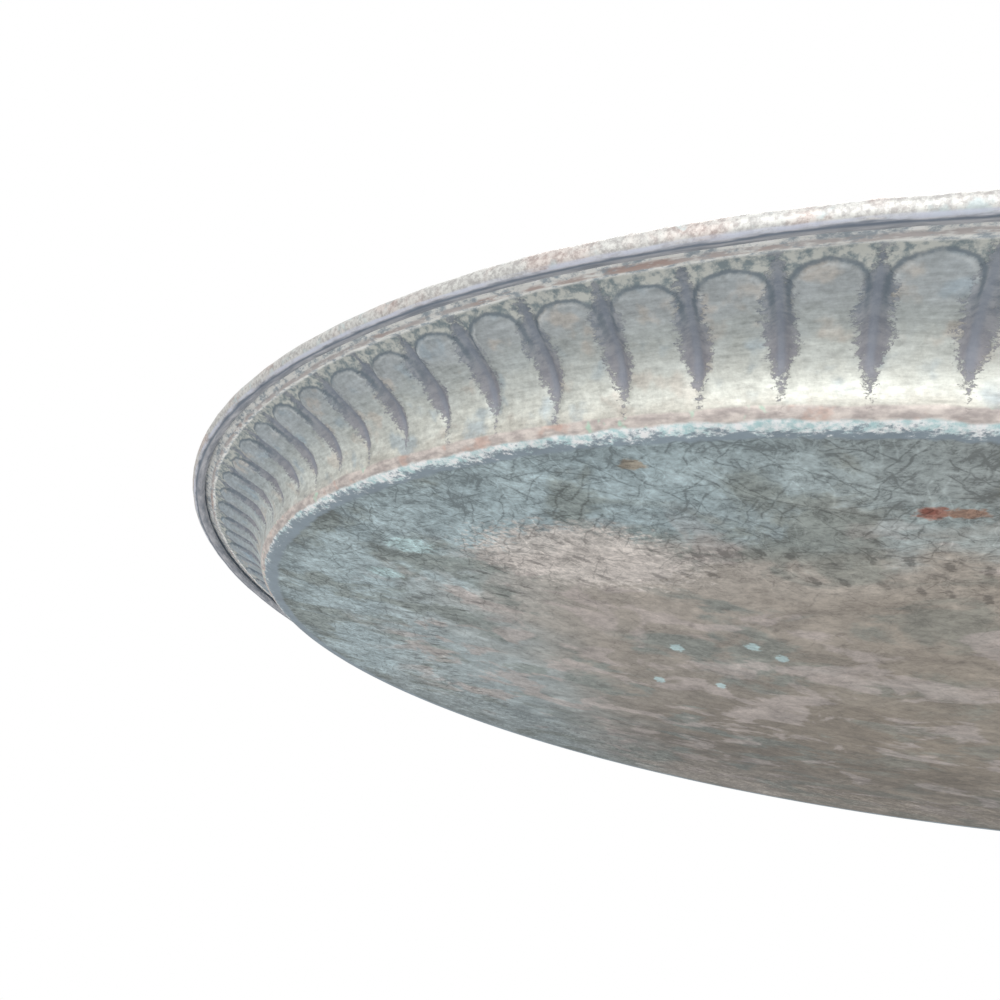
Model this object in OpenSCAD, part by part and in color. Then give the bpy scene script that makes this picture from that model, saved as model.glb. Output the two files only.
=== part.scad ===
// Large round copper tray, raised and hammered from one sheet: a flat base, a low fluted wall that
// flares out to a narrow flange, and an edge rolled down and back over a stiffening wire.
// The tray stands upright, with the middle of its base's underside at the origin.

/* [Overall] */
// Diameter over the rolled edge
rim_d = 600; // [560:5:700]
// Thickness of the copper sheet
sheet_t = 1.0; // [0.8:0.1:1.2]

/* [Base and wall] */
// Radius at the foot of the wall, as a share of the rim's radius
foot_share = 0.893; // [0.88:0.001:0.895]
// Outer radius of the turn from the base into the wall
corner_r = 6; // [4:0.5:7]
// Slope of the wall above the corner, in degrees
wall_slope = 76; // [72:1:82]
// Straight length of the wall between the corner and the flare
wall_run = 1; // [1:0.5:3]
// Radius of the flare from the wall out to the flange
flare_r = 12; // [10:0.5:14]
// Slope of the flange, in degrees
flange_slope = 15; // [8:1:16]

/* [Flutes] */
// Number of flutes round the wall
flutes = 105; // [60:1:110]
// Height that each flute is pushed out of the sheet
flute_h = 1.2; // [0.6:0.1:1.6]
// Width of the groove between two flutes, as a share of the pitch
groove_share = 0.5; // [0.3:0.05:0.6]
// Length that each flute runs out along the flange, past the flare
flute_run = 10; // [5:1:12]

/* [Rim] */
// Diameter of the wire inside the rolled edge
wire_d = 3.0; // [2:0.2:4]
// Clearance all round between the wire and the roll
wire_gap = 0.05; // [0.02:0.01:0.1]
// Gap between the wire's two butted ends
wire_end_gap = 1.5; // [0.5:0.5:4]

/* [Hidden] */
tin_colour = "#a39a92";
iron_colour = "#5a504a";

rim_r = rim_d / 2;
foot_r = rim_r * foot_share;
roll_r = wire_d / 2 + wire_gap + sheet_t;

// Ends and centres of the sheet's turns, as points of its underside in the r-z plane.
corner_c = [foot_r - corner_r, corner_r];
corner_end = corner_c + corner_r * [sin(wall_slope), -cos(wall_slope)];
wall_end = corner_end + wall_run * [cos(wall_slope), sin(wall_slope)];
flare_c = wall_end + flare_r * [sin(wall_slope), -cos(wall_slope)];
flare_end = flare_c + flare_r * [-sin(flange_slope), cos(flange_slope)];
flange_dir = [cos(flange_slope), sin(flange_slope)];
flange_up = [-sin(flange_slope), cos(flange_slope)];
flute_end = flare_end + flute_run * flange_dir;

// The roll hangs under the flange, whose upper face runs tangent into the roll's top.
below_flange = flare_end + flange_up * (sheet_t - roll_r);
roll_c = below_flange + (rim_r - roll_r - below_flange[0]) / cos(flange_slope) * flange_dir;
top_angle = 90 + flange_slope;
meet_angle = top_angle + acos(1 - sheet_t / roll_r);
turn_steps = 2;
roll_steps = 5;

// One turn of the sheet: each entry is [point, direction through the sheet, flute's height there].
// The sheet's thickness lies inside the corner, side -1, and outside the flare, side 1.
function turn(centre, radius, from, to, side, height) =
    [for (i = [0:turn_steps])
        let (a = from + (to - from) * i / turn_steps, d = [cos(a), sin(a)])
            [centre + radius * d, side * d, height]];

// The sheet's underside from the base to the flange, then round the roll, then back along the top.
underside = concat(
    turn(corner_c, corner_r, -90, wall_slope - 90, -1, 0),
    turn(flare_c, flare_r, 90 + wall_slope, 90 + flange_slope, 1, flute_h),
    [[flute_end, flange_up, 0]]
);
roll = [for (i = [0:roll_steps])
    let (a = meet_angle + (360 - meet_angle + top_angle) * i / roll_steps)
        [roll_c + roll_r * [cos(a), sin(a)], flange_up, 0]];
upperside = [for (i = [len(underside) - 1:-1:0])
    let (u = underside[i]) [u[0] + u[1] * sheet_t, u[1], u[2]]];
outline = concat(underside, roll, upperside);

// Each flute has three columns: the middle of the groove before it, and its own two edges.
// Each column is [angle, share of the flute's height that the sheet is pushed out by there].
columns = [for (i = [0:flutes - 1], share = [0, groove_share / 2, 1 - groove_share / 2])
    [(i + share) * 360 / flutes, share == 0 ? 0 : 1]];

function at(column, entry) =
    let (p = entry[0] - entry[1] * entry[2] * column[1])
        [p[0] * cos(column[0]), p[0] * sin(column[0]), p[1]];

// The sheet as one closed skin: faces between each two columns, and a flat disc under and over the base.
module fluted_sheet() {
    n = len(outline);
    m = len(columns);
    points = [for (column = columns, entry = outline) at(column, entry)];
    sides = [for (j = [0:m - 1], k = [0:n - 2])
        let (a = j * n + k, b = (j + 1) % m * n + k)
            each [[a, a + 1, b + 1], [a, b + 1, b]]];
    under_disc = [for (j = [0:m - 1]) j * n];
    upper_disc = [for (j = [m - 1:-1:0]) j * n + n - 1];
    polyhedron(points, concat(sides, [under_disc, upper_disc]));
}

// Space inside the rolled edge, which the wire fills.
module wire_space() {
    rotate_extrude($fn = 180)
        translate(roll_c)
            circle(d = wire_d + 2 * wire_gap, $fn = 48);
}

module pan() {
    color(tin_colour)
        difference() {
            fluted_sheet();
            wire_space();
        }
}

// One length of wire bent into a ring, with its ends butted.
module rim_wire() {
    end_angle = wire_end_gap / roll_c[0] * 180 / PI;
    color(iron_colour)
        rotate([0, 0, end_angle / 2])
            rotate_extrude(angle = 360 - end_angle, $fn = 180)
                translate(roll_c)
                    circle(d = wire_d, $fn = 48);
}

pan();
rim_wire();
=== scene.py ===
"""Looks of the large round tray: raised and fluted copper under old, worn tin, seen from below its edge.

The mesh is in metres, and the materials work in millimetres. The tray's one piece is built from rings of
vertices. They follow the outline of the sheet from its underside's corner up the fluted wall, along the
flange, round the rolled edge and back over the top, and a disc closes each side of the base. Each vertex
keeps its reach, which is how far along that outline it is, and how far it is from its flute's edge and from
the groove's middle. The materials paint their zones from those.
"""
from collections import namedtuple
from math import acos, cos, hypot, pi, radians, sin

import bpy
import numpy as np
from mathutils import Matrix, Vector, noise


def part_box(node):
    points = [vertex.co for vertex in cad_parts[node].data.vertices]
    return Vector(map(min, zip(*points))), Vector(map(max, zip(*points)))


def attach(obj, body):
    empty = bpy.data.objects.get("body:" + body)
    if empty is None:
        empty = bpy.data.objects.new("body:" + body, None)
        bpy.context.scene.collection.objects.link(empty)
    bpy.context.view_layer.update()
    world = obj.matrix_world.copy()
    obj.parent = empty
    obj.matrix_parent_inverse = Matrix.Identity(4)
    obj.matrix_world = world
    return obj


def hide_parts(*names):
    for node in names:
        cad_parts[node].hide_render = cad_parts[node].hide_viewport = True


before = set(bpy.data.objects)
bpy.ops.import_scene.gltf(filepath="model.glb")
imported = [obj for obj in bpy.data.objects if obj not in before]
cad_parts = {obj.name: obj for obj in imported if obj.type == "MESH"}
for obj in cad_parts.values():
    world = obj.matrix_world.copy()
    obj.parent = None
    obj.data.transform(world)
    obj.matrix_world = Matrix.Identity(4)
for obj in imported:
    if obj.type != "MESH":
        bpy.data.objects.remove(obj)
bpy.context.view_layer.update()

MM = 0.001

# ---------------------------------------------------------------- the sheet's outline, as in the frame
RIM_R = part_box("pan")[1].x
SHEET = 1.0 * MM
FOOT_R = 0.893 * RIM_R
CORNER_R = 6 * MM
WALL_SLOPE = radians(76)
WALL_RUN = 1 * MM
FLARE_R = 12 * MM
FLANGE_SLOPE = radians(15)
ROLL_R = 2.55 * MM
CREVICE = 1.1 * MM

CORNER_C = (FOOT_R - CORNER_R, CORNER_R)
CORNER_TURN = (-pi / 2, WALL_SLOPE - pi / 2)
FLARE_TURN = (pi / 2 + WALL_SLOPE, pi / 2 + FLANGE_SLOPE)
FLANGE = (cos(FLANGE_SLOPE), sin(FLANGE_SLOPE))
FLANGE_OUT = (sin(FLANGE_SLOPE), -cos(FLANGE_SLOPE))

# Level is the length along the underside from its middle, and both faces of the sheet share it.
CORNER_LEVEL = CORNER_C[0]
WALL_LEVEL = CORNER_LEVEL + CORNER_R * WALL_SLOPE
FLARE_LEVEL = WALL_LEVEL + WALL_RUN
FLANGE_LEVEL = FLARE_LEVEL + FLARE_R * (WALL_SLOPE - FLANGE_SLOPE)

Ring = namedtuple("Ring", "r z out_r out_z level reach")
Point = namedtuple("Point", "r z out_r out_z level")


def spread(start, end, count):
    """Evenly spaced values from start to end, both included."""
    return [start + (end - start) * i / (count - 1) for i in range(count)]


def on_corner(angle, inward=0.0):
    """A point on the turn from the base into the wall, that far in from its underside."""
    radius = CORNER_R - inward
    level = CORNER_LEVEL + CORNER_R * (angle - CORNER_TURN[0])
    return Point(
        CORNER_C[0] + radius * cos(angle), CORNER_C[1] + radius * sin(angle), cos(angle), sin(angle), level
    )


WALL_FOOT = on_corner(CORNER_TURN[1])
FLARE_C = (
    WALL_FOOT.r + WALL_RUN * cos(WALL_SLOPE) + FLARE_R * sin(WALL_SLOPE),
    WALL_FOOT.z + WALL_RUN * sin(WALL_SLOPE) - FLARE_R * cos(WALL_SLOPE),
)


def on_flare(angle, inward=0.0):
    """A point on the turn from the wall out to the flange, that far in from its underside."""
    radius = FLARE_R + inward
    level = FLARE_LEVEL + FLARE_R * (FLARE_TURN[0] - angle)
    return Point(
        FLARE_C[0] + radius * cos(angle), FLARE_C[1] + radius * sin(angle), -cos(angle), -sin(angle), level
    )


FLARE_END = on_flare(FLARE_TURN[1])
below_flange = (
    FLARE_END.r + FLANGE_OUT[0] * (ROLL_R - SHEET),
    FLARE_END.z + FLANGE_OUT[1] * (ROLL_R - SHEET),
)
roll_along = (RIM_R - ROLL_R - below_flange[0]) / FLANGE[0]
ROLL_C = (RIM_R - ROLL_R, below_flange[1] + roll_along * FLANGE[1])
ROLL_TOP = pi / 2 + FLANGE_SLOPE
ROLL_MEET = ROLL_TOP + acos(1 - SHEET / ROLL_R)
FLANGE_LEN = (ROLL_C[0] + ROLL_R * cos(ROLL_MEET) - FLARE_END.r) / FLANGE[0]
ROLL_LEVEL = FLANGE_LEVEL + FLANGE_LEN


def on_flange(distance, inward=0.0):
    """A point on the flange that far past the flare, and that far in from its underside."""
    return Point(
        FLARE_END.r + distance * FLANGE[0] - inward * FLANGE_OUT[0],
        FLARE_END.z + distance * FLANGE[1] - inward * FLANGE_OUT[1],
        *FLANGE_OUT,
        FLANGE_LEVEL + distance,
    )


def on_roll(angle, inward=0.0):
    """A point on the rolled edge, that far in from its outside."""
    radius = ROLL_R - inward
    return Point(
        ROLL_C[0] + radius * cos(angle), ROLL_C[1] + radius * sin(angle), cos(angle), sin(angle), ROLL_LEVEL
    )


def outline():
    """The rings from the corner's start round the rolled edge to the corner's end on the upper side."""
    free_edge = [(0.28, 0.9 * MM), (0.38, 0.1 * MM), (0.62, 0)]
    roll_turn = (ROLL_MEET + free_edge[-1][0], ROLL_TOP + 2 * pi)
    points = [on_corner(a) for a in spread(*CORNER_TURN, 7)]
    points += [on_flare(a) for a in spread(*FLARE_TURN, 13)]
    points += [on_flange(d) for d in spread(0, FLANGE_LEN - 5 * MM, 7)[1:]]
    points += [on_flange(FLANGE_LEN - d * MM) for d in (4.1, 3.5, 3.0, 2.5, 1.9, 1.0, 0)]
    points += [on_flange(FLANGE_LEN + CREVICE, 0.05 * MM)]
    points += [on_roll(ROLL_MEET + turn, depth) for turn, depth in free_edge]
    points += [on_roll(a) for a in spread(*roll_turn, 13)[1:]]
    points += [on_flange(d, SHEET) for d in spread(FLANGE_LEN - 2 * MM, 0, 6)]
    points += [on_flare(a, SHEET) for a in spread(*FLARE_TURN[::-1], 9)[1:]]
    points += [on_corner(a, SHEET) for a in spread(*CORNER_TURN[::-1], 4)]
    rings, reach = [], CORNER_LEVEL
    for i, p in enumerate(points):
        if i:
            reach += hypot(p.r - points[i - 1].r, p.z - points[i - 1].z)
        rings.append(Ring(*p, reach))
    return rings


# ---------------------------------------------------------------- flutes, ridge and hammer marks
# Lengths here are in millimetres, apart from the hammer marks' in metres.
FLUTES = 105
COLUMN_SHARES = (0, 0.045, 0.1, 0.17, 0.3, 0.5, 0.7, 0.83, 0.9, 0.955)
PANEL_SHARE = 0.8
FLUTE_LEN = 27.0
ARCH_LEN = 5.5
FLUTE_H = 1.0
CROWN_H = 0.35
GROOVE_DEPTH = 0.55
GROOVE_HALF = 1.0
FADE_LEN = 9.0
RIDGE_H = 0.45
RIDGE_HALF = 0.75
RIDGE_FROM_ROLL = 3.0
DIMPLE = 16 * MM
DIMPLE_DEPTH = 0.16 * MM
WAVE_DEPTH = 0.09 * MM
WAVES_PER_METRE = 17
RIM_WANDER = 0.3 * MM
HAND_SEED = 7


def smooth_step(x):
    x = np.clip(x, 0, 1)
    return x * x * (3 - 2 * x)


def flute_plan():
    """Each column's angle and place in its flute, and each flute's own width, length and height.

    They are a little uneven, as if made by hand.
    """
    rng = np.random.default_rng(HAND_SEED)
    shift = rng.uniform(-0.035, 0.035, FLUTES)
    edges = np.append(np.arange(FLUTES) + shift, FLUTES + shift[0])
    shares = np.array(COLUMN_SHARES)
    turns = (edges[:-1, None] + shares * np.diff(edges)[:, None]).ravel()
    offset = np.tile(shares - 0.5, FLUTES)
    width, longer, height = (
        np.repeat(rng.uniform(low, high, FLUTES), len(shares))
        for low, high in ((0.92, 1.08), (-1.2, 0.6), (0.8, 1.15))
    )
    return turns * 2 * pi / FLUTES, offset, width, longer, height


def flute_fields(ring, offset, width, longer, height):
    """For one ring, in mm: how far in from the flute's edge, how far from the groove, and the relief."""
    pitch = 2 * pi * ring.r / FLUTES / MM
    lateral = np.abs(offset) * pitch
    climb = (ring.level - WALL_LEVEL) / MM
    half = PANEL_SHARE / 2 * pitch * width
    past = np.maximum(climb - (FLUTE_LEN + longer - ARCH_LEN), 0) / ARCH_LEN
    inside = (1 - np.sqrt((lateral / half) ** 2 + past**2)) * half
    core = pitch / 2 - lateral
    fade = smooth_step((climb + 1) / FADE_LEN)
    end = smooth_step((FLUTE_LEN + longer - climb) / 3)
    crown = CROWN_H * np.sqrt(np.clip(inside / half, 0, 1))
    bulge = FLUTE_H * smooth_step(inside / 1.6 + 0.35) + crown
    groove = GROOVE_DEPTH * np.exp(-((core / GROOVE_HALF) ** 2)) * end
    relief = fade * height * (bulge - groove)
    ridge_at = (ROLL_LEVEL - ring.level) / MM - RIDGE_FROM_ROLL
    relief = relief + RIDGE_H * np.exp(-((ridge_at / RIDGE_HALF) ** 2))
    return inside, core, relief


def hammered(x, y, z):
    """Height of the shallow hammer marks and slow waves of the sheet at one place."""
    first, second = noise.voronoi(Vector((x, y, z)) / DIMPLE)[0][:2]
    dimple = min((second - first) * 1.6, 1) * DIMPLE_DEPTH
    return dimple + WAVE_DEPTH * (1 + noise.noise(Vector((x, y, z)) * WAVES_PER_METRE))


# The sheet's three zones, each with its own material.
BASE, WALL, TOP = range(3)

# Rings of the base, from its edge in: points in each, first and last radius, and how many rings.
DISC_STEPS = ((350, 0.2575, 0.135, 28), (175, 0.131, 0.03, 24), (35, 0.026, 0.008, 4))

# The edge and core fields of points far from any flute, in millimetres.
NO_FLUTE = (-20, 20)


class PanMesh:
    """Collects the tray's vertices, their fields and its faces."""

    def __init__(self):
        self.points, self.fields, self.faces, self.materials = [], [], [], []

    def ring(self, angles, r, z, reach, edge, core):
        start = len(self.points)
        r, z, edge, core = (np.broadcast_to(v, len(angles)) for v in (r, z, edge, core))
        for a, ri, zi, ei, ci in zip(angles, r, z, edge, core):
            self.points.append((ri * cos(a), ri * sin(a), zi))
            self.fields.append((reach / MM, ei, ci))
        return list(range(start, start + len(angles)))

    def face(self, points, material):
        self.faces.append(points)
        self.materials.append(material)

    def band(self, outer, inner, material):
        """Faces between two rings. The outer one may have several points to each of the inner one's."""
        n, k = len(inner), len(outer) // len(inner)
        for i in range(n):
            near = [outer[(i * k + j) % len(outer)] for j in range(k + 1)]
            self.face([*near, inner[(i + 1) % n], inner[i]], material)

    def disc(self, edge_ring, z, reach_at, material):
        """The base inside its corner, from that ring to a point in the middle."""
        before = edge_ring
        for count, start, end, steps in DISC_STEPS:
            angles = np.arange(count) * 2 * pi / count
            for r in spread(start, end, steps):
                marks = [hammered(r * cos(a), r * sin(a), 0) for a in angles]
                now = self.ring(angles, r, z + np.array(marks), reach_at(r), *NO_FLUTE)
                self.band(before, now, material)
                before = now
        middle = self.ring([0.0], 0, z, reach_at(0), *NO_FLUTE)[0]
        for i, point in enumerate(before):
            self.face([point, before[(i + 1) % len(before)], middle], material)


def build_pan():
    """The whole sheet as one closed mesh."""
    angles, offset, width, longer, height = flute_plan()
    mesh = PanMesh()
    rings = outline()
    wander = np.array([noise.noise(Vector((cos(a), sin(a), 0)) * 5) for a in angles]) * RIM_WANDER
    made = []
    for g in rings:
        inside, core, relief = flute_fields(g, offset, width, longer, height)
        rough = np.array([hammered(g.r * cos(a), g.r * sin(a), g.z) for a in angles])
        on_rim = smooth_step((g.level - WALL_LEVEL) / (ROLL_LEVEL - WALL_LEVEL))
        push = relief * MM - rough * smooth_step((g.level - CORNER_LEVEL) / (8 * MM))
        r = g.r + g.out_r * push
        z = g.z + g.out_z * push + wander * on_rim
        made.append(mesh.ring(angles, r, z, g.reach, inside, core))
    top_from = min(i for i, g in enumerate(rings) if g.level == ROLL_LEVEL and g.out_z > 0.3)
    for i in range(1, len(made)):
        mesh.band(made[i - 1], made[i], WALL if i <= top_from else TOP)
    last = rings[-1].reach
    upper_start = len(mesh.faces)
    mesh.disc(made[0], 0.0, lambda r: r, BASE)
    lower_end = len(mesh.faces)
    mesh.disc(made[-1], SHEET, lambda r: last + CORNER_LEVEL - r, TOP)
    for i in range(upper_start, lower_end):
        mesh.faces[i].reverse()
    data = bpy.data.meshes.new("pan_sheet")
    data.from_pydata(mesh.points, [], mesh.faces)
    data.update()
    fields = np.array(mesh.fields, np.float32)
    for i, name in enumerate(("reach", "edge", "core")):
        data.attributes.new(name, "FLOAT", "POINT").data.foreach_set("value", fields[:, i])
    data.polygons.foreach_set("use_smooth", [True] * len(data.polygons))
    data.polygons.foreach_set("material_index", mesh.materials)
    pan = bpy.data.objects.new("pan_sheet", data)
    bpy.context.scene.collection.objects.link(pan)
    return pan


# ---------------------------------------------------------------- materials
def srgb(red, green, blue):
    """A colour given in display values from 0 to 255, as the shader's linear colour."""
    linear = [c / 255 / 12.92 if c < 10 else ((c / 255 + 0.055) / 1.055) ** 2.4 for c in (red, green, blue)]
    return (*linear, 1)


class Nodes:
    """Adds nodes to one tree. Most calls give back an output, and a plain number stands for a constant."""

    def __init__(self, tree):
        self.tree = tree

    def put(self, socket, value):
        if isinstance(value, bpy.types.NodeSocket):
            self.tree.links.new(value, socket)
        elif socket.type == "VECTOR":
            socket.default_value = value[:3]
        else:
            socket.default_value = value

    def node(self, kind, inputs=(), **settings):
        made = self.tree.nodes.new(kind)
        for name, value in settings.items():
            setattr(made, name, value)
        for name, value in dict(inputs).items():
            self.put(made.inputs[name], value)
        return made

    def math(self, operation, *values, clamp=False):
        made = self.node("ShaderNodeMath", operation=operation, use_clamp=clamp)
        for socket, value in zip(made.inputs, values):
            self.put(socket, value)
        return made.outputs[0]

    def add(self, *values):
        total = values[0]
        for value in values[1:]:
            total = self.math("ADD", total, value)
        return total

    def times(self, *values):
        total = values[0]
        for value in values[1:]:
            total = self.math("MULTIPLY", total, value)
        return total

    def most(self, *values):
        total = values[0]
        for value in values[1:]:
            total = self.math("MAXIMUM", total, value)
        return total

    def vector(self, operation, *values, scale=None):
        made = self.node("ShaderNodeVectorMath", operation=operation)
        for socket, value in zip(made.inputs, values):
            self.put(socket, value)
        if scale is not None:
            self.put(made.inputs["Scale"], scale)
        return made.outputs["Value" if operation == "LENGTH" else "Vector"]

    def split(self, vector):
        return self.node("ShaderNodeSeparateXYZ", {"Vector": vector}).outputs

    def dice(self, number):
        """Three values from 0 to 1, the same for the same number."""
        rolled = self.node("ShaderNodeTexWhiteNoise", {"W": number}, noise_dimensions="1D").outputs["Color"]
        return self.node("ShaderNodeSeparateColor", {"Color": rolled}).outputs

    def join(self, x, y, z=0.0):
        return self.node("ShaderNodeCombineXYZ", {"X": x, "Y": y, "Z": z}).outputs[0]

    def rise(self, value, low, high):
        """Smoothly from 0 at low to 1 at high. Low may be the larger one."""
        ends = {"Value": value, "From Min": min(low, high), "From Max": max(low, high)}
        if low > high:
            ends |= {"To Min": 1.0, "To Max": 0.0}
        return self.node("ShaderNodeMapRange", ends, interpolation_type="SMOOTHSTEP").outputs[0]

    def between(self, value, low, high, soft):
        """1 from low to high and 0 outside, with soft ends."""
        start, end = self.rise(value, low - soft, low + soft), self.rise(value, high + soft, high - soft)
        return self.times(start, end)


class Paint(Nodes):
    """The nodes of one material, with its place on the object in millimetres."""

    def __init__(self, name):
        self.material = bpy.data.materials.new(name)
        self.material.use_nodes = True
        super().__init__(self.material.node_tree)
        self.shader = self.tree.nodes["Principled BSDF"]
        place = self.node("ShaderNodeTexCoord").outputs["Object"]
        self.place = self.vector("SCALE", place, scale=1 / MM)
        self.far = self.vector("ADD", self.place, (1000, 2000, 3000))

    def around(self, share):
        """Coordinates that stretch marks round the tray, the more the smaller the share."""
        x, y, _ = self.split(self.vector("NORMALIZE", self.vector("MULTIPLY", self.place, (1, 1, 0))))
        size = share * RIM_R / MM
        return self.join(self.times(x, size), self.times(y, size), self.field("reach"))

    def swing(self, amount, size, **settings):
        """Noise from about -amount to +amount."""
        return self.times(self.math("SUBTRACT", self.noise(size, **settings), 0.5), 2 * amount)

    def field(self, name):
        return self.node("ShaderNodeAttribute", attribute_name=name).outputs["Fac"]

    def noise(self, size, vector=None, detail=3.0, rough=0.55, warp=0.0):
        """Noise from 0 to 1 whose blotches are about that many millimetres across."""
        inputs = {"Vector": self.far if vector is None else vector, "Scale": 1 / size}
        inputs |= {"Detail": detail, "Roughness": rough, "Distortion": warp}
        return self.node("ShaderNodeTexNoise", inputs).outputs["Fac"]

    def mix(self, factor, first, second, clamped=True):
        made = self.node("ShaderNodeMix", data_type="RGBA", clamp_factor=clamped)
        self.put(made.inputs["Factor"], factor)
        self.put(made.inputs[6], first)
        self.put(made.inputs[7], second)
        return made.outputs[2]

    def shade(self, colour, value):
        """The colour made darker or lighter by a factor, which may be above 1."""
        return self.mix(value, (0, 0, 0, 1), colour, clamped=False)

    def stops(self, value, low, high, colours):
        """A smooth run of colours, evenly spaced from low to high."""
        share = self.node("ShaderNodeMapRange", {"Value": value, "From Min": low, "From Max": high})
        ramp = self.node("ShaderNodeValToRGB", {"Fac": share.outputs[0]})
        ramp.color_ramp.interpolation = "EASE"
        ends = ramp.color_ramp.elements
        for i, colour in enumerate(colours):
            at = i / (len(colours) - 1)
            stop = ends[i] if i < 2 else ends.new(at)
            stop.position, stop.color = at, colour
        return ramp.outputs["Color"]


SCRATCH_INPUTS = ("Angle", "Length", "Spacing", "Width", "Share")


def scratch_group():
    """Straight thin scratches, one to a cell of a turned grid, each with its own place, tilt and length."""
    tree = bpy.data.node_groups.new("scratches", "ShaderNodeTree")
    tree.interface.new_socket("Vector", in_out="INPUT", socket_type="NodeSocketVector")
    for name in SCRATCH_INPUTS:
        tree.interface.new_socket(name, in_out="INPUT", socket_type="NodeSocketFloat")
    tree.interface.new_socket("Mask", in_out="OUTPUT", socket_type="NodeSocketFloat")
    p = Nodes(tree)
    given = p.node("NodeGroupInput").outputs
    turned = p.node("ShaderNodeVectorRotate", {"Vector": given["Vector"], "Angle": given["Angle"]})
    x, y, _ = p.split(turned.outputs[0])
    across = p.math("DIVIDE", y, given["Spacing"])
    row = p.math("FLOOR", across)
    along = p.add(p.math("DIVIDE", x, given["Length"]), p.times(p.dice(row)[0], 7.3))
    own = p.dice(p.add(p.times(row, 1.37), p.times(p.math("FLOOR", along), 9.71), given["Angle"]))
    u = p.math("SUBTRACT", p.math("FRACT", along), 0.5)
    v = p.math("SUBTRACT", p.math("FRACT", across), 0.5)
    tilt = p.times(p.math("SUBTRACT", own[1], 0.5), u, 1.2)
    place = p.times(p.math("SUBTRACT", own[0], 0.5), 0.4)
    bend = p.times(p.math("SUBTRACT", own[2], 0.5), p.times(u, u), 1.5)
    off = p.math("ABSOLUTE", p.math("SUBTRACT", v, p.add(tilt, place, bend)))
    width = p.math("DIVIDE", given["Width"], given["Spacing"])
    thin = p.math("SUBTRACT", 1.0, p.math("DIVIDE", off, width), clamp=True)
    reach = p.add(0.12, p.times(own[2], 0.34))
    ends = p.math("DIVIDE", p.math("SUBTRACT", reach, p.math("ABSOLUTE", u)), 0.06, clamp=True)
    there = p.math("LESS_THAN", own[1], given["Share"])
    mask = p.times(thin, ends, there)
    tree.links.new(mask, p.node("NodeGroupOutput").inputs["Mask"])
    return tree


SCRATCHES = scratch_group()


def scratches(p, vector, turn, length, spacing, width, share):
    made = p.node("ShaderNodeGroup", node_tree=SCRATCHES)
    p.put(made.inputs["Vector"], vector)
    for name, value in zip(SCRATCH_INPUTS, (turn, length, spacing, width, share)):
        p.put(made.inputs[name], value)
    return made.outputs["Mask"]


def place_on_base(p):
    """x, y and distance from the middle, in millimetres."""
    x, y, _ = p.split(p.place)
    return x, y, p.math("SQRT", p.add(p.times(x, x), p.times(y, y)))


def blob(p, x, y, wide, deep, ragged):
    """A soft-edged spot on the base, 1 in its middle and 0 past its ragged edge, in millimetres."""
    off = p.vector("MULTIPLY", p.vector("SUBTRACT", p.place, (x, y, 0)), (1 / wide, 1 / deep, 0))
    return p.rise(p.add(p.vector("LENGTH", off), ragged), 1.2, 0.75)


def punch_marks(p, radius, count, lean, share, seed):
    """A row of short dark hammer marks round the base, each leaning, some left out."""
    x, y, r = place_on_base(p)
    turn = p.times(p.math("ARCTAN2", y, x), count / (2 * pi))
    step = p.add(turn, p.times(p.math("SUBTRACT", r, radius), lean), 500.0)
    own_r, own_turn, own_there = p.dice(p.add(p.math("FLOOR", step), seed))[:3]
    u = p.math("SUBTRACT", p.math("FRACT", step), p.add(0.35, p.times(own_turn, 0.3)))
    u = p.times(u, 2 * pi * radius / count)
    v = p.math("SUBTRACT", r, p.add(radius - 1.5, p.times(own_r, 3)))
    off = p.vector("LENGTH", p.join(p.times(u, 1 / 1.5), p.times(v, 1 / 3.3)))
    mark = p.rise(p.add(off, p.swing(0.7, 1.4, detail=2)), 1.15, 0.45)
    return p.times(mark, p.math("LESS_THAN", own_there, share))


def white_scale(p, mottling):
    """Pale blue-white scale over slate, where the base turns up into the wall."""
    x, y, _ = place_on_base(p)
    flakes = p.add(p.noise(2.2, vector=p.around(0.7), detail=5, rough=0.75), p.swing(0.2, 13, detail=3))
    higher = p.times(p.math("SUBTRACT", p.field("reach"), 261.2), 0.06)
    fewer = p.add(p.times(p.rise(y, -90, 20), -0.5), p.times(p.rise(x, -110, -220), -0.2))
    flakes = p.add(flakes, higher, fewer)
    tone = p.rise(p.noise(2.3, detail=4, rough=0.65), 0.3, 0.65)
    scale = p.mix(tone, srgb(188, 218, 220), srgb(255, 255, 255))
    scale = p.shade(scale, p.add(0.82, p.times(mottling, 0.42)))
    slate = p.shade(srgb(154, 168, 178), p.add(0.6, p.times(mottling, 0.7)))
    return p.mix(p.rise(flakes, 0.42, 0.6), slate, scale)


def veins(p, size, thin):
    """Fine wandering lines, along which a noise crosses its middle."""
    off = p.math("ABSOLUTE", p.math("SUBTRACT", p.noise(size, detail=4, rough=0.6, warp=0.8), 0.5))
    return p.rise(off, thin, 0.0)


PALE = srgb(200, 224, 226)

# Spots on the base: x, y, half width and half depth in millimetres, and colour.
SPOTS = (
    (-69, -189, 34, 22, srgb(222, 215, 209)),
    (-129, -189, 8, 6, PALE),
    (-153, -161, 7, 5, PALE),
    (-50, -106, 2.6, 4.4, PALE),
    (-22, -117, 2.8, 4.0, PALE),
    (-12, -107, 2.4, 3.6, PALE),
    (-64, -54, 2.4, 4.6, PALE),
    (-37, -57, 2.2, 4.2, PALE),
    (22.5, -228, 8.5, 6.5, srgb(176, 188, 188)),
    (19.5, -228, 3.4, 3.0, srgb(176, 120, 102)),
    (26, -228.5, 4.2, 2.4, srgb(176, 138, 116)),
    (18.6, -228.6, 1.9, 1.5, srgb(146, 92, 80)),
    (-44, -246, 3.4, 2.4, srgb(180, 168, 150)),
)

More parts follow.
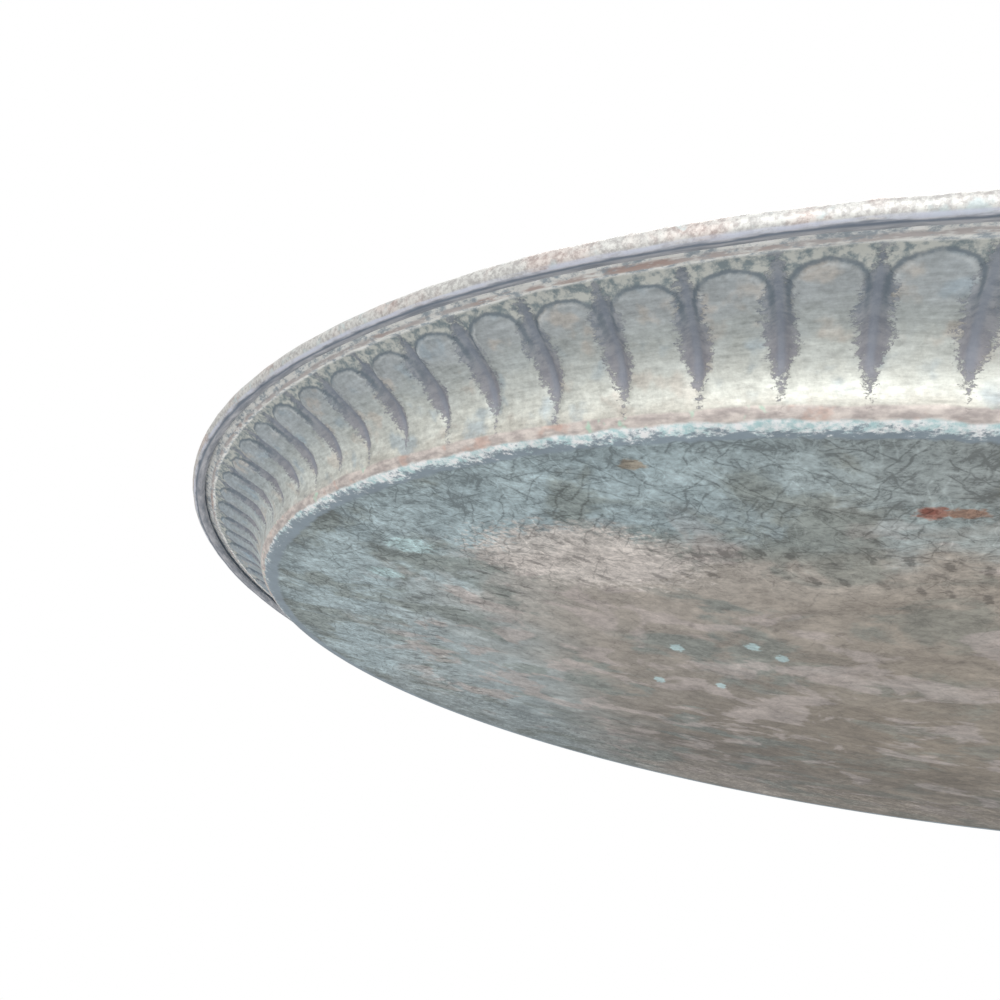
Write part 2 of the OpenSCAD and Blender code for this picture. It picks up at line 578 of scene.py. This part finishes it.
# Layers of scratches on the base and on top: turn in radians, then length, spacing and width in millimetres,
# and the share that is there.
BASE_SCRATCHES = (
    (0.35, 22, 2.6, 0.4, 0.55),
    (1.15, 29, 3.7, 0.46, 0.5),
    (2.25, 19, 2.9, 0.4, 0.5),
    (2.8, 44, 7.0, 0.65, 0.45),
)
TOP_SCRATCHES = (
    (0.5, 40, 5.0, 0.34, 0.5),
    (1.6, 30, 4.0, 0.3, 0.5),
    (2.6, 52, 7.0, 0.4, 0.5),
)


def paint_base(p, mottling, grain):
    """The underside of the base: slate near its edge, warmer inside, scratched, with a few spots, and
    painted shade at its edge and towards +y.
    """
    x, y, r = place_on_base(p)
    wide = p.swing(1, 60)
    middle = p.noise(24, detail=5, rough=0.62, warp=0.5)
    small = p.noise(4.2, detail=5, rough=0.7, warp=0.6)
    uneven = p.add(p.times(wide, 40), p.times(p.math("SUBTRACT", middle, 0.5), 60))
    edge = p.add(r, uneven, p.times(p.rise(y, -40, 90), -70))
    left = p.rise(p.add(x, p.times(wide, 45)), -70, -175)
    warm = p.times(p.rise(edge, 222, 196), p.math("SUBTRACT", 1.0, p.times(left, 0.85)))
    slate = p.mix(middle, srgb(158, 176, 182), srgb(194, 209, 212))
    warmth = p.stops(
        edge, 20, 215,
        [srgb(148, 140, 130), srgb(162, 155, 146), srgb(180, 172, 163), srgb(198, 192, 185)],
    )
    colour = p.mix(warm, slate, warmth)
    patches = p.rise(p.noise(36, detail=5, rough=0.6, warp=0.5), 0.5, 0.6)
    colour = p.mix(p.times(patches, 0.75), colour, p.mix(small, srgb(122, 134, 132), srgb(162, 168, 162)))
    colour = p.mix(p.times(p.rise(x, -50, 50), 0.4), colour, srgb(162, 150, 134))
    pinkish = p.rise(p.noise(29, detail=4, warp=0.5), 0.54, 0.61)
    pinkish = p.times(pinkish, p.rise(r, 240, 190), 0.65)
    colour = p.mix(pinkish, colour, srgb(200, 190, 186))
    ragged = p.swing(0.9, 2.6, detail=4, rough=0.65)
    for spot_x, spot_y, half_width, half_depth, tint in SPOTS:
        spot = blob(p, spot_x, spot_y, half_width, half_depth, ragged)
        colour = p.mix(p.times(spot, 0.85), colour, tint)
    bent = p.vector("ADD", p.place, p.join(p.swing(4.5, 13, detail=2), p.swing(4.5, 14, detail=2)))
    dark = p.most(*(scratches(p, bent, *layer) for layer in BASE_SCRATCHES))
    light = scratches(p, bent, 1.75, 24, 3.1, 0.34, 0.5)
    lines = p.times(p.most(veins(p, 6.5, 0.034), veins(p, 11, 0.022)), p.rise(small, 0.66, 0.44))
    marks = p.most(
        punch_marks(p, 185, 132, 0.05, 0.85, 3), punch_marks(p, 201, 142, 0.05, 0.7, 40),
        p.times(punch_marks(p, 140, 92, -0.04, 0.6, 80), 0.5),
    )
    near_edge = p.rise(r, 150, 225)
    value = p.add(
        1.0,
        p.times(p.math("SUBTRACT", middle, 0.5), 0.95),
        p.times(p.math("SUBTRACT", mottling, 0.5), 0.8),
        p.times(p.math("SUBTRACT", small, 0.5), p.add(0.8, p.times(near_edge, 0.8))),
        p.times(p.math("SUBTRACT", grain, 0.5), p.add(0.4, p.times(near_edge, 0.5))),
        p.times(dark, p.add(-0.12, p.times(near_edge, -0.24))),
        p.times(lines, p.add(-0.1, p.times(near_edge, -0.14))),
        p.times(light, p.add(0.06, p.times(near_edge, 0.16))),
        p.times(marks, -0.4),
        # Painted shade: darker over the base's last millimetres before its corner, and darker towards +y.
        p.times(p.rise(r, 247, 258), -0.2),
        p.times(p.rise(y, -20, 120), -0.3),
    )
    return p.shade(colour, p.math("MAXIMUM", value, 0.5)), marks


def paint_band(p, reach, grain, mottling):
    """White scale on the corner, then a pinkish brown line where the wall begins."""
    tint = p.noise(6.3, detail=3)
    tone = p.rise(p.noise(1.7, vector=p.around(0.35), detail=5), 0.3, 0.7)
    brown = p.mix(tone, srgb(182, 173, 170), srgb(230, 221, 214))
    brown = p.mix(p.times(p.rise(tint, 0.56, 0.7), 0.6), brown, srgb(218, 186, 172))
    brown = p.mix(p.rise(tint, 0.38, 0.3), brown, srgb(196, 222, 204))
    brown = p.shade(brown, p.add(0.75, p.times(grain, 0.5)))
    wobble = p.add(reach, p.swing(1.4, 5, vector=p.around(0.5), detail=4))
    return p.mix(p.rise(wobble, 263.8, 264.8), white_scale(p, mottling), brown)


def paint_wall(p, reach, edge, core, mottling, grain):
    """The fluted wall: pale panels, greyer towards the flange, between ragged dark grooves, with painted
    shade on the left side and down the middle of each groove.
    """
    x, _, _ = place_on_base(p)
    streaks = p.noise(1.1, vector=p.around(0.22), detail=4, rough=0.65)
    clouds = p.noise(6, detail=5, rough=0.65)
    panel = p.stops(
        p.add(reach, p.times(p.math("SUBTRACT", clouds, 0.5), 12)), 266, 297,
        [
            srgb(224, 222, 212), srgb(228, 230, 222), srgb(212, 216, 211),
            srgb(196, 202, 201), srgb(190, 196, 198), srgb(184, 191, 194),
        ],
    )
    tint = p.noise(9.5, detail=3)
    # Bluish grey in random patches, and more of it towards the left (-x), where it is painted shade.
    cold_tint_and_left_shade = p.add(p.rise(tint, 0.55, 0.7), p.rise(x, -90, -280))
    panel = p.mix(p.times(cold_tint_and_left_shade, 0.5), panel, srgb(170, 188, 200))
    panel = p.mix(p.times(p.rise(tint, 0.44, 0.32), 0.6), panel, srgb(214, 206, 196))
    wear = p.add(-0.22, p.times(streaks, 0.76), p.times(grain, 0.6))
    wear = p.add(wear, p.times(mottling, 0.35), p.times(clouds, 0.45))
    panel = p.shade(panel, wear)
    speckle = p.around(0.65)
    rag = p.swing(4.0, 0.75, vector=speckle, detail=4, rough=0.75)
    lobes = p.swing(2.0, 4.5, vector=speckle, detail=2)
    foot = p.times(p.rise(p.add(reach, lobes, lobes), 281, 267), 3.4)
    neck = p.times(p.rise(reach, 289, 299), 2.4)
    dark = p.rise(p.add(core, foot, neck, rag, lobes), 3.5, 2.5)
    tone = p.rise(p.noise(1.9, vector=speckle, detail=4, rough=0.7), 0.35, 0.65)
    deep = p.mix(tone, srgb(126, 134, 145), srgb(166, 170, 176))
    deep = p.mix(p.times(p.rise(reach, 290, 276), 0.5), deep, srgb(146, 138, 144))
    tone = p.rise(p.noise(2.1, detail=4, rough=0.65), 0.36, 0.6)
    shoulder = p.mix(tone, srgb(142, 154, 158), srgb(208, 210, 204))
    colour = p.mix(p.times(p.rise(edge, 0.2, -0.6), p.rise(reach, 290, 295)), panel, shoulder)
    colour = p.mix(p.times(dark, 0.9), colour, deep)
    # Slate down the middle of each groove: painted shade of the groove's hollow.
    middle = p.rise(p.add(core, p.times(lobes, 0.3)), 1.3, 0.3)
    middle = p.times(middle, p.rise(reach, 271, 277), p.rise(reach, 298, 293))
    colour = p.mix(p.times(middle, 0.55), colour, srgb(144, 152, 165))
    line = p.add(edge, p.times(rag, 0.14))
    arch = p.rise(p.math("ABSOLUTE", line), 0.8, 0.1)
    arch = p.times(arch, p.rise(reach, 283, 290), p.rise(clouds, 0.25, 0.5))
    colour = p.mix(p.times(arch, 0.75), colour, srgb(112, 125, 135))
    glint = p.times(p.between(line, 0.9, 1.5, 0.25), p.rise(reach, 288, 293), p.rise(clouds, 0.4, 0.6))
    return p.mix(p.times(glint, 0.35), colour, srgb(226, 230, 230)), dark


def paint_roll(p):
    """The speckled outside of the rolled edge."""
    speck = p.noise(1.2, detail=4, rough=0.75)
    cream = p.mix(p.rise(speck, 0.34, 0.62), srgb(176, 174, 172), srgb(216, 216, 212))
    pink = p.mix(p.rise(speck, 0.36, 0.62), srgb(172, 152, 146), srgb(214, 202, 196))
    roll = p.mix(p.times(p.rise(p.noise(17, detail=5, rough=0.65), 0.48, 0.64), 0.65), cream, pink)
    return p.mix(p.times(p.rise(p.noise(4.4, detail=3), 0.55, 0.7), 0.6), roll, srgb(190, 206, 208))


def paint_rim(p, reach):
    """The flange past the flutes, partly lightened by painted light, its worn ridge, the crevice with
    painted shade in it, the inner side of the rolled edge, and a painted highlight along the rolled edge's
    lower side.
    """
    drawn = p.around(0.18)
    fine = p.noise(0.9, vector=drawn, detail=3, rough=0.6)
    long = p.noise(2.2, vector=drawn, detail=5, rough=0.65)
    at = p.add(reach, p.times(p.math("SUBTRACT", long, 0.5), 1.4))
    texture = p.add(0.72, p.times(fine, 0.56))
    tone = p.rise(p.noise(1.7, vector=p.around(0.5), detail=4, rough=0.7), 0.36, 0.56)
    # The flange's pale grey, lightened past its own colour to offset the shade of the roll and wall over it:
    # partly its own colour, partly painted light.
    flange_grey_and_painted_light = p.mix(tone, srgb(178, 188, 195), srgb(250, 250, 246))
    copper = p.mix(p.rise(p.noise(38, detail=2), 0.5, 0.62), srgb(198, 192, 190), srgb(190, 170, 163))
    colour = p.mix(p.times(p.between(at, 299.3, 300.4, 0.3), p.rise(fine, 0.36, 0.56)), flange_grey_and_painted_light, copper)
    broken = p.rise(p.noise(7, vector=p.around(0.3), detail=4, rough=0.65), 0.3, 0.46)
    # Slate, broken up, in the crevice between the flange and the rolled edge: painted shade.
    colour = p.mix(p.times(p.between(at, 302.9, 305.4, 0.4), broken), colour, srgb(112, 123, 137))
    inner = p.mix(p.rise(long, 0.3, 0.7), srgb(146, 152, 162), srgb(206, 206, 210))
    colour = p.mix(p.rise(at, 305.2, 305.8), colour, inner)
    # A thin slate line just before the outside of the rolled edge: painted shade of the gap under the curl.
    colour = p.mix(p.times(p.between(at, 309.7, 310.3, 0.3), 0.9), colour, srgb(118, 129, 143))
    roll = paint_roll(p)
    # A pale lavender line along the lower side of the rolled edge: painted highlight.
    lip_highlight = p.times(p.between(at, 310.6, 311.5, 0.3), p.rise(long, 0.3, 0.6), 0.8)
    colour = p.shade(colour, texture)
    return p.mix(lip_highlight, p.mix(p.rise(at, 310.5, 310.9), colour, roll), srgb(212, 217, 232))


def paint_top(p, reach, edge, mottling, grain):
    """The upper side: tin rubbed through to copper where it is used most."""
    _, _, r = place_on_base(p)
    wide = p.noise(55, detail=4, rough=0.6)
    middle = p.noise(14, detail=4, rough=0.65)
    tin = p.mix(middle, srgb(122, 128, 132), srgb(166, 168, 166))
    copper = p.mix(middle, srgb(118, 96, 84), srgb(156, 128, 112))
    rubbed = p.add(wide, p.times(p.math("SUBTRACT", middle, 0.5), 0.7), p.times(p.rise(r, 235, 90), 0.1))
    colour = p.mix(p.times(p.rise(rubbed, 0.54, 0.8), 0.9), tin, copper)
    high = p.times(p.between(reach, 326, 352, 2), p.rise(edge, -0.2, -1.4))
    colour = p.mix(p.times(high, p.rise(middle, 0.35, 0.55)), colour, copper)
    soot = p.times(p.between(reach, 350, 368, 4), p.rise(mottling, 0.35, 0.65))
    colour = p.mix(p.times(soot, 0.75), colour, srgb(92, 94, 94))
    dark = p.most(*(scratches(p, p.place, *layer) for layer in TOP_SCRATCHES))
    light = scratches(p, p.place, 1.05, 34, 3.6, 0.3, 0.5)
    value = p.add(
        1.0, p.times(p.math("SUBTRACT", mottling, 0.5), 0.45), p.times(p.math("SUBTRACT", grain, 0.5), 0.35),
        p.times(dark, -0.22), p.times(light, 0.16),
    )
    return p.shade(colour, value)


def finish(p, colour, rough, metallic, height):
    """Colour, gloss and fine relief, the relief in quarter millimetres."""
    p.put(p.shader.inputs["Base Color"], colour)
    p.put(p.shader.inputs["Roughness"], rough)
    p.put(p.shader.inputs["Metallic"], metallic)
    bump = p.node("ShaderNodeBump", {"Strength": 0.8, "Distance": 0.25 * MM, "Height": height})
    p.put(p.shader.inputs["Normal"], bump.outputs[0])
    return p.material


def tinned_base():
    """Old tin over copper, on the underside of the base."""
    p = Paint("tinned_base")
    mottling, grain = p.noise(9, detail=4, rough=0.65), p.noise(1.6, rough=0.7)
    colour, marks = paint_base(p, mottling, grain)
    ragged = p.add(p.field("reach"), p.swing(1.3, 24), p.swing(1.4, 3, detail=4))
    colour = p.mix(p.rise(ragged, 257.6, 259.2), colour, white_scale(p, mottling))
    height = p.add(p.times(mottling, 0.5), p.times(grain, 0.4), p.times(marks, -0.9))
    rough = p.add(0.46, p.times(mottling, 0.2), p.times(grain, 0.1))
    return finish(p, colour, rough, 0.62, height)


def tinned_wall():
    """Old tin over copper, from the corner up the fluted wall to the underside of the rolled edge."""
    p = Paint("tinned_wall")
    reach, edge, core = (p.field(name) for name in ("reach", "edge", "core"))
    mottling, grain = p.noise(9, detail=4, rough=0.65), p.noise(1.6, rough=0.7)
    wall, patina = paint_wall(p, reach, edge, core, mottling, grain)
    ragged = p.swing(1, 14)
    colour = p.mix(p.rise(p.add(reach, ragged), 266.8, 267.6), paint_band(p, reach, grain, mottling), wall)
    colour = p.mix(p.rise(p.add(reach, ragged), 298.2, 299.0), colour, paint_rim(p, reach))
    clean = p.times(patina, p.between(reach, 266, 298, 1))
    height = p.add(p.times(mottling, 0.4), p.times(grain, 0.4), p.times(clean, -0.4))
    rough = p.add(0.48, p.times(clean, 0.16), p.times(mottling, 0.16), p.times(grain, 0.08))
    return finish(p, colour, rough, p.math("SUBTRACT", 0.62, p.times(clean, 0.3)), height)


def tinned_top():
    """Old tin over copper, from the outside of the rolled edge over the whole upper side."""
    p = Paint("tinned_top")
    reach, edge = p.field("reach"), p.field("edge")
    mottling, grain = p.noise(9, detail=4, rough=0.65), p.noise(1.6, rough=0.7)
    ragged = p.add(reach, p.swing(1.6, 3.3, detail=4))
    colour = p.mix(p.rise(ragged, 318.5, 320.5), paint_roll(p), paint_top(p, reach, edge, mottling, grain))
    height = p.add(p.times(mottling, 0.5), p.times(grain, 0.4))
    rough = p.add(0.4, p.times(mottling, 0.22), p.times(grain, 0.1))
    return finish(p, colour, rough, 0.75, height)


def iron():
    """The wire inside the rolled edge: drawn iron, dull and brown."""
    p = Paint("iron")
    stain = p.noise(6, detail=5, rough=0.65)
    colour = p.mix(stain, srgb(74, 68, 66), srgb(122, 86, 66))
    return finish(p, colour, p.add(0.45, p.times(stain, 0.3)), 0.7, p.noise(0.8))


# ---------------------------------------------------------------- camera, floor and light
CAMERA_PLACE = (-0.00688, -0.39444, -0.08625)
CAMERA_DEGREES = (115.557, -12.1, 18.767)


def add_camera():
    """The camera is under the tray's plane, close to its near wall, and looks up and to the left."""
    data = bpy.data.cameras.new("camera")
    data.lens = 26.93
    data.sensor_width = 36
    data.clip_start = 0.01
    camera = bpy.data.objects.new("camera", data)
    camera.location = CAMERA_PLACE
    camera.rotation_euler = [radians(angle) for angle in CAMERA_DEGREES]
    bpy.context.scene.collection.objects.link(camera)
    bpy.context.scene.camera = camera


FLOOR_HALF = 6
FLOOR_GAP = 0.3 * MM


def add_floor():
    """A pale floor that shows only from above, because the camera is under it."""
    data = bpy.data.meshes.new("floor")
    corners = [(-1, -1), (1, -1), (1, 1), (-1, 1)]
    points = [(x * FLOOR_HALF, y * FLOOR_HALF, 0) for x, y in corners]
    data.from_pydata(points, [], [(0, 1, 2, 3)])
    floor = bpy.data.objects.new("floor", data)
    floor.location.z = -FLOOR_GAP
    bpy.context.scene.collection.objects.link(floor)
    material = bpy.data.materials.new("floor")
    material.use_nodes = True
    nodes, links = material.node_tree.nodes, material.node_tree.links
    shader = nodes["Principled BSDF"]
    shader.inputs["Base Color"].default_value = (0.8, 0.8, 0.79, 1)
    shader.inputs["Roughness"].default_value = 0.7
    side = nodes.new("ShaderNodeNewGeometry")
    clear = nodes.new("ShaderNodeBsdfTransparent")
    mix = nodes.new("ShaderNodeMixShader")
    links.new(side.outputs["Backfacing"], mix.inputs[0])
    links.new(shader.outputs[0], mix.inputs[1])
    links.new(clear.outputs[0], mix.inputs[2])
    links.new(mix.outputs[0], nodes["Material Output"].inputs["Surface"])
    data.materials.append(material)
    floor.visible_diffuse = False
    floor.visible_glossy = False
    floor.visible_shadow = False


def area_light(name, place, size, power):
    """A round light of that size and power, aimed at the middle of the tray."""
    data = bpy.data.lights.new(name, "AREA")
    data.shape = "DISK"
    data.size = size
    data.energy = power
    light = bpy.data.objects.new(name, data)
    light.location = place
    light.rotation_euler = (-Vector(place)).to_track_quat("-Z", "Y").to_euler()
    light.visible_camera = False
    bpy.context.scene.collection.objects.link(light)


def add_world():
    """Even light from all round, and a plain white background for the camera."""
    world = bpy.data.worlds.new("studio")
    world.use_nodes = True
    nodes, links = world.node_tree.nodes, world.node_tree.links
    nodes["Background"].inputs["Color"].default_value = (1, 1, 1, 1)
    nodes["Background"].inputs["Strength"].default_value = 0.7
    white = nodes.new("ShaderNodeBackground")
    white.inputs["Strength"].default_value = 1.0
    white.inputs["Color"].default_value = (1, 1, 1, 1)
    path = nodes.new("ShaderNodeLightPath")
    mix = nodes.new("ShaderNodeMixShader")
    links.new(path.outputs["Is Camera Ray"], mix.inputs[0])
    links.new(nodes["Background"].outputs[0], mix.inputs[1])
    links.new(white.outputs[0], mix.inputs[2])
    links.new(mix.outputs[0], nodes["World Output"].inputs["Surface"])
    bpy.context.scene.world = world
    bpy.context.scene.view_settings.view_transform = "Standard"


pan = build_pan()
for material in (tinned_base(), tinned_wall(), tinned_top()):
    pan.data.materials.append(material)
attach(pan, "root")
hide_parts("pan")
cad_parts["rim_wire"].data.materials.clear()
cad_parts["rim_wire"].data.materials.append(iron())
add_camera()
add_floor()
add_world()
area_light("window", (0.2, -1.6, 0.1), size=1.4, power=17)
area_light("ceiling", (0, 0.2, 1.8), size=1.6, power=30)
